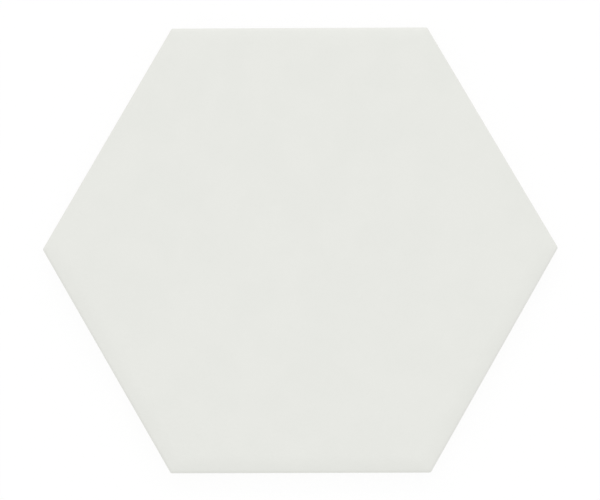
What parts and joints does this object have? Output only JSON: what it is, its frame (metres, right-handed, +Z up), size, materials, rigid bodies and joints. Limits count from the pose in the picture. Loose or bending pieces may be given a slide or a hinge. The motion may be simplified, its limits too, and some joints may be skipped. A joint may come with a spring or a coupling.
{
  "type": "hexagonal floor tile",
  "caption": "White satin-glazed porcelain floor tile, a regular hexagon with a cushioned face edge and a honeycomb of key recesses in its back.",
  "frame": {"origin": "centre of the back, on the plane that the tile rests on", "axes": "+Z up out of the face; +X towards a corner; +Y square to a side"},
  "size_m": [0.1996, 0.1732, 0.009],
  "materials": {
    "glazed_porcelain": "satin"
  },
  "bodies": {
    "root": {"hexagon_tile": "glazed_porcelain"}
  },
  "joints": []
}
